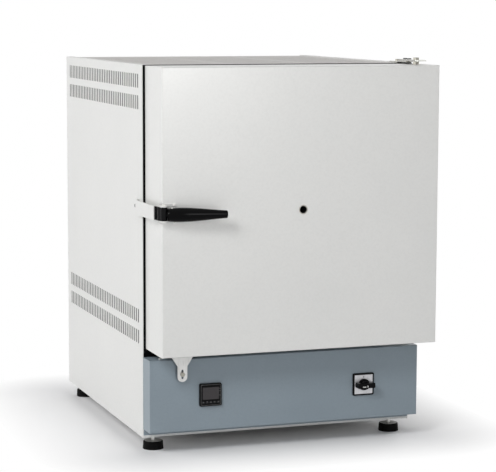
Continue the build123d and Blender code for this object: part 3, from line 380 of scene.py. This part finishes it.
black_plastic = plastic(
    "black_plastic", (0.0025, 0.0025, 0.003), (0.004, 0.004, 0.0045), 0.20,
    grain_mm=0.006, specular=0.07,
)
bakelite = grip_finish()
key_plastic = plastic(
    "key_plastic", (0.010, 0.010, 0.011), (0.016, 0.016, 0.017), 0.40, specular=0.25
)
lens = plastic(
    "controller_lens", (0.024, 0.0195, 0.022), (0.031, 0.026, 0.029), 0.14,
    grain_mm=0.004, specular=0.45,
)
red_plastic = plastic("plunger_plastic", (0.52, 0.08, 0.05), (0.42, 0.06, 0.04), 0.35)
block_plastic = plastic("terminal_plastic", (0.66, 0.66, 0.62), (0.58, 0.58, 0.53), 0.40)
foot = foot_finish()
mark_white = plastic("mark_white", (0.80, 0.80, 0.78), (0.72, 0.72, 0.70), 0.45)
mark_grey = plastic("mark_grey", (0.20, 0.20, 0.20), (0.15, 0.15, 0.15), 0.5)
mark_black = plastic("mark_black", (0.006, 0.006, 0.006), (0.010, 0.010, 0.010), 0.5, specular=0.2)
bead = plastic(
    "bezel_bead", (0.020, 0.020, 0.021), (0.030, 0.030, 0.031), 0.22,
    grain_mm=0.004, specular=0.9,
)

FINISH = {
    slotted_white: ["left_side_panel", "right_side_panel"],
    white: ["base_pan", "catch_bracket", "latch_bracket"],
    galvanised: ["switch_tongue"],
    door_white: ["door_shell"],
    slate: ["control_panel"],
    black_coat: ["front_frame"],
    cover: ["top_cover"],
    sheet_steel: ["rear_panel", "door_back_plate"],
    shaded_casing_sheet: ["insulation_casing"],
    zinc: [
        "top_hinge_base", "top_hinge_arm", "bottom_hinge_bracket", "latch_pivot_bolt",
        "latch_screws", "grip_screw", "case_screws",
    ],
    dull_zinc: ["tongue_screw", "top_pivot_bolt", "hinge_bolt"],
    black_steel: ["hinge_screws", "catch_hardware"],
    lever_black: ["latch_lever"],
    insulation: [
        "chamber_floor", "chamber_roof", "chamber_left_wall", "chamber_right_wall",
        "chamber_back_wall", "mouth_collar", "door_insulation",
    ],
    gasket: ["door_gasket"],
    hearth: ["hearth_plate"],
    port_tube: ["door_port_tube"],
    ceramic_tube: ["thermocouple"],
    element: ["heating_elements"],
    bronze: ["hinge_bushes"],
    black_plastic: [
        "controller_housing", "switch_frame", "switch_body", "switch_knob",
        "door_switch_body", "cable_gland",
    ],
    bakelite: ["handle_grip"],
    lens: ["controller_window"],
    key_plastic: [f"key_{n}" for n in range(1, 6)],
    red_plastic: ["switch_plunger"],
    silver: ["switch_plate"],
    foot: ["foot_front_left", "foot_front_right", "foot_back_left", "foot_back_right"],
    block_plastic: ["terminal_block"],
    sink: ["power_relay"],
}
for recipe, names in FINISH.items():
    for name in names:
        node = nodes[name]
        node.data.materials.clear()
        node.data.materials.append(recipe.material)

# ------------------------------------------------------------------ small pieces on the object
PROUD = 0.06 * MM  # how far a printed mark or a recess stands off its surface
UP = Vector((0.0, 0.0, 1.0))
FRONT = Vector((0.0, -1.0, 0.0))


def inlay(name, outlines, at, facing, up, node, recipe):
    """Flat shapes on the surface of a CAD node, which they ride with; outlines in mm across and up."""
    across = up.cross(facing)
    mesh = bpy.data.meshes.new(name)
    bm = bmesh.new()
    for outline in outlines:
        base = [at + (across * u + up * v) * MM for u, v in outline]
        low = [bm.verts.new(point) for point in base]
        high = [bm.verts.new(point + facing * PROUD) for point in base]
        bm.faces.new(high)
        bm.faces.new(low[::-1])
        for a, b, c, d in zip(low, low[1:] + low[:1], high[1:] + high[:1], high):
            bm.faces.new((a, b, c, d))
    bm.to_mesh(mesh)
    bm.free()
    piece = bpy.data.objects.new(name, mesh)
    scene.collection.objects.link(piece)
    mesh.materials.append(recipe.material)
    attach(piece, body_of(nodes[node])[0])


def bar(length, height, u=0.0, v=0.0):
    a, b = length / 2, height / 2
    return [(u - a, v - b), (u + a, v - b), (u + a, v + b), (u - a, v + b)]


def triangle(size, tip_up=True, u=0.0, v=0.0):
    tip = size * 0.45 if tip_up else -size * 0.45
    points = [(u - size / 2, v - tip), (u + size / 2, v - tip), (u, v + tip)]
    return points if tip_up else points[::-1]


def arc_point(radius, angle, u, v):
    return (u + radius * math.cos(angle), v + radius * math.sin(angle))


def ring(radius, width, u=0.0, v=0.0, steps=24):
    """A ring as short joined segments, because an outline has no holes."""
    segments = []
    for step in range(steps):
        a, b = (2 * math.pi * end / steps for end in (step, step + 1))
        inner = radius - width
        segments.append([
            arc_point(radius, a, u, v),
            arc_point(radius, b, u, v),
            arc_point(inner, b, u, v),
            arc_point(inner, a, u, v),
        ])
    return segments


def front_centre(node):
    """Middle of a node's front face."""
    low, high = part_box(node)
    return Vector(((low.x + high.x) / 2, low.y, (low.z + high.z) / 2))


def key_symbols():
    """A plain grey symbol on each key: back, down, up, select, run."""
    symbols = [
        ring(1.1, 0.4, v=0.6),
        [triangle(2.2, tip_up=False, v=0.6)],
        [triangle(2.2, v=0.6)],
        [bar(2.0, 0.5, v=1.2), bar(2.0, 0.5, v=0.0)],
        [bar(0.6, 2.0, u=-0.7, v=0.6), bar(0.6, 2.0, u=0.7, v=0.6)],
    ]
    for number, outlines in enumerate(symbols, start=1):
        key = f"key_{number}"
        inlay(f"{key}_symbol", outlines, front_centre(key), FRONT, UP, key, mark_grey)


def controller_lamps():
    """Three small lamps in a column beside the controller's window."""
    outlines = [bar(1.2, 1.2, u=19.6, v=v) for v in (12.5, 7.5, -1.5)]
    at = front_centre("controller_housing")
    inlay("controller_lamps", outlines, at, FRONT, UP, "controller_housing", mark_grey)


def bezel_bead():
    """Glossy moulded bead round the controller's bezel."""
    at = front_centre("controller_housing")
    half, corner, bead_r = 21.3 * MM, 2.2 * MM, 0.55 * MM
    curve = bpy.data.curves.new("bezel_bead", "CURVE")
    curve.dimensions = "3D"
    curve.bevel_depth = bead_r
    curve.bevel_resolution = 3
    points = []
    for quarter in range(4):
        turn = quarter * math.pi / 2
        diagonal = turn + math.pi / 4
        centre = Vector((math.cos(diagonal), 0.0, math.sin(diagonal))) * math.sqrt(2)
        for step in range(5):
            angle = turn + step * math.pi / 8
            out = Vector((math.cos(angle), 0.0, math.sin(angle)))
            points.append(at + centre * (half - corner) + out * corner)
    spline = curve.splines.new("POLY")
    spline.points.add(len(points) - 1)
    for target, point in zip(spline.points, points):
        target.co = (*point, 1.0)
    spline.use_cyclic_u = True
    piece = bpy.data.objects.new("bezel_bead", curve)
    scene.collection.objects.link(piece)
    curve.materials.append(bead.material)
    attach(piece, body_of(nodes["controller_housing"])[0])


def switch_marks():
    """I and O on the switch plate, a pointer on the knob."""
    mark_out = 16.3
    outlines = [bar(1.3, 4.0, v=mark_out)] + ring(2.0, 0.8, u=mark_out)
    plate = front_centre("switch_plate")
    inlay("switch_marks", outlines, plate, FRONT, UP, "switch_plate", mark_black)
    outlines = [bar(8.0, 1.7, u=-5.7, v=-2.2), bar(1.9, 4.0, u=2.0, v=-1.4)]
    knob = front_centre("switch_knob")
    inlay("knob_pointer", outlines, knob, FRONT, UP, "switch_knob", mark_white)


def islands(node):
    """The separate solids of a node, in the mesh's order, each as its vertices' places."""
    bm = bmesh.new()
    bm.from_mesh(nodes[node].data)
    bmesh.ops.remove_doubles(bm, verts=bm.verts, dist=0.001 * MM)
    seen = set()
    found = []
    for first in bm.verts:
        if first in seen:
            continue
        seen.add(first)
        group = [first]  # grows while it is walked through
        for vert in group:
            for edge in vert.link_edges:
                other = edge.other_vert(vert)
                if other not in seen:
                    seen.add(other)
                    group.append(other)
        found.append([vert.co.copy() for vert in group])
    bm.free()
    return found


def screw_head(points):
    """Middle of a screw's head face and the way it faces: the wide end of its long axis."""
    low = Vector([min(p[axis] for p in points) for axis in range(3)])
    high = Vector([max(p[axis] for p in points) for axis in range(3)])
    size = high - low
    odd = [abs(size[(axis + 1) % 3] - size[(axis + 2) % 3]) for axis in range(3)]
    axis = odd.index(min(odd))
    middle = (low + high) / 2

    def spread(end):
        return max((p - middle).length for p in points if abs(p[axis] - end) < 0.4 * MM)

    outward = 1.0 if spread(high[axis]) > spread(low[axis]) else -1.0
    facing = Vector((0.0, 0.0, 0.0))
    facing[axis] = outward
    middle[axis] = high[axis] if outward > 0 else low[axis]
    return middle, facing


def cross_recesses(node, length=3.6, width=0.9):
    """Dark cross recesses on the heads of a node's screws, each turned a little differently."""
    for number, points in enumerate(islands(node), start=1):
        at, facing = screw_head(points)
        side = UP if abs(facing.z) < 0.5 else Vector((0.0, 1.0, 0.0))
        up = Matrix.Rotation(random.uniform(0.0, math.pi / 2), 3, facing) @ side
        outlines = [bar(length, width), bar(width, length)]
        inlay(f"{node}_cross_{number}", outlines, at, facing, up, node, mark_black)


key_symbols()
controller_lamps()
bezel_bead()
switch_marks()
cross_recesses("case_screws")
cross_recesses("latch_screws", length=2.4, width=0.6)

# ------------------------------------------------------------------ floor, backdrop, light
FLOOR_WHITE = 0.23  # metres from the case's footprint where the floor has run to white


def seen_directly(tree):
    """1 for camera, glossy and transmission rays, 0 for the rays that carry diffuse light."""
    path = tree.nodes.new("ShaderNodeLightPath")
    value = path.outputs["Is Camera Ray"]
    for name in ("Is Glossy Ray", "Is Transmission Ray"):
        value = combine(tree, MATH, "MAXIMUM", value, path.outputs[name])
    return value


def floor_material():
    """Pale floor that keeps the shadows, running to plain white away from the object."""
    material = bpy.data.materials.new("studio_floor")
    material.use_nodes = True
    tree = material.node_tree
    shader = tree.nodes["Principled BSDF"]
    shader.inputs["Base Color"].default_value = (0.93, 0.93, 0.94, 1.0)
    shader.inputs["Roughness"].default_value = 0.6
    shader.inputs["Specular IOR Level"].default_value = 0.2
    glow = tree.nodes.new("ShaderNodeEmission")
    low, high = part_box("base_pan")
    middle = (low + high) / 2
    half = (high - low) / 2
    middle.z = 0.0
    place = tree.nodes.new("ShaderNodeNewGeometry").outputs["Position"]
    offset = combine(tree, VECTOR_MATH, "SUBTRACT", place, middle)
    mirrored = combine(tree, VECTOR_MATH, "ABSOLUTE", offset)
    past_half = combine(tree, VECTOR_MATH, "SUBTRACT", mirrored, half)
    past_footprint = combine(tree, VECTOR_MATH, "MAXIMUM", past_half, (0.0, 0.0, 0.0))
    distance = combine(tree, VECTOR_MATH, "LENGTH", past_footprint)
    fade = tree.nodes.new("ShaderNodeMapRange")
    fade.inputs["From Max"].default_value = FLOOR_WHITE
    tree.links.new(distance, fade.inputs["Value"])
    shown = combine(tree, MATH, "MULTIPLY", fade.outputs["Result"], seen_directly(tree))
    blend = tree.nodes.new("ShaderNodeMixShader")
    tree.links.new(shown, blend.inputs["Fac"])
    tree.links.new(shader.outputs["BSDF"], blend.inputs[1])
    tree.links.new(glow.outputs["Emission"], blend.inputs[2])
    tree.links.new(blend.outputs["Shader"], tree.nodes["Material Output"].inputs["Surface"])
    return material


def add_floor():
    """A floor that sweeps up into a backdrop behind the object."""
    mesh = bpy.data.meshes.new("studio_floor")
    bm = bmesh.new()
    front, bend_at, bend_r, top, half_width = -7.0, 3.5, 2.0, 8.0, 9.0
    bend_steps = 12
    profile = [(front, 0.0), (bend_at, 0.0)]
    for step in range(1, bend_steps + 1):
        angle = math.radians(90 * step / bend_steps)
        profile.append((bend_at + bend_r * math.sin(angle), bend_r - bend_r * math.cos(angle)))
    profile.append((bend_at + bend_r, top))
    rows = [[bm.verts.new((x, y, z)) for y, z in profile] for x in (-half_width, half_width)]
    for a, b, c, d in zip(rows[0], rows[0][1:], rows[1][1:], rows[1]):
        bm.faces.new((d, c, b, a))
    bm.to_mesh(mesh)
    bm.free()
    floor = bpy.data.objects.new("studio_floor", mesh)
    floor.rotation_euler.z = -YAW
    floor.location.z = -0.2 * MM
    scene.collection.objects.link(floor)
    mesh.materials.append(floor_material())
    for polygon in mesh.polygons:
        polygon.use_smooth = True


def world_light(strength):
    """Even white light of that strength, plain white where it is seen or mirrored."""
    world = bpy.data.worlds.new("studio")
    world.use_nodes = True
    scene.world = world
    tree = world.node_tree
    background = tree.nodes["Background"]
    background.inputs["Color"].default_value = (1.0, 1.0, 1.0, 1.0)
    level = tree.nodes.new("ShaderNodeMapRange")
    level.inputs["To Min"].default_value = strength
    level.inputs["To Max"].default_value = 1.0
    tree.links.new(seen_directly(tree), level.inputs["Value"])
    tree.links.new(level.outputs["Result"], background.inputs["Strength"])


def area_light(name, at, target, size, power):
    data = bpy.data.lights.new(name, "AREA")
    data.shape = "RECTANGLE"
    data.size, data.size_y = size
    data.energy = power
    lamp = bpy.data.objects.new(name, data)
    aim = Vector(target) - Vector(at)
    lamp.rotation_euler = aim.to_track_quat("-Z", "Y").to_euler()
    lamp.location = at
    scene.collection.objects.link(lamp)


WORLD_STRENGTH = 0.06
LIGHTS = {
    # name: (place, aimed at, size, watts)
    "key_softbox": ((-2.6, -2.6, 2.7), (0.0, 0.0, 0.5), (1.3, 1.3), 86.0),
    "side_softbox": ((-3.4, 1.0, 1.6), (0.0, 0.0, 0.4), (2.0, 1.6), 42.0),
    "front_softbox": ((0.22, -2.87, 1.14), (-0.05, -0.37, 0.75), (0.80, 0.9), 10.5),
    "back_softbox": ((3.0, 2.2, 1.7), (0.0, 0.0, 0.4), (2.0, 2.0), 45.0),
}
add_floor()
world_light(WORLD_STRENGTH)
for name, (at, target, size, power) in LIGHTS.items():
    area_light(name, at, target, size, power)
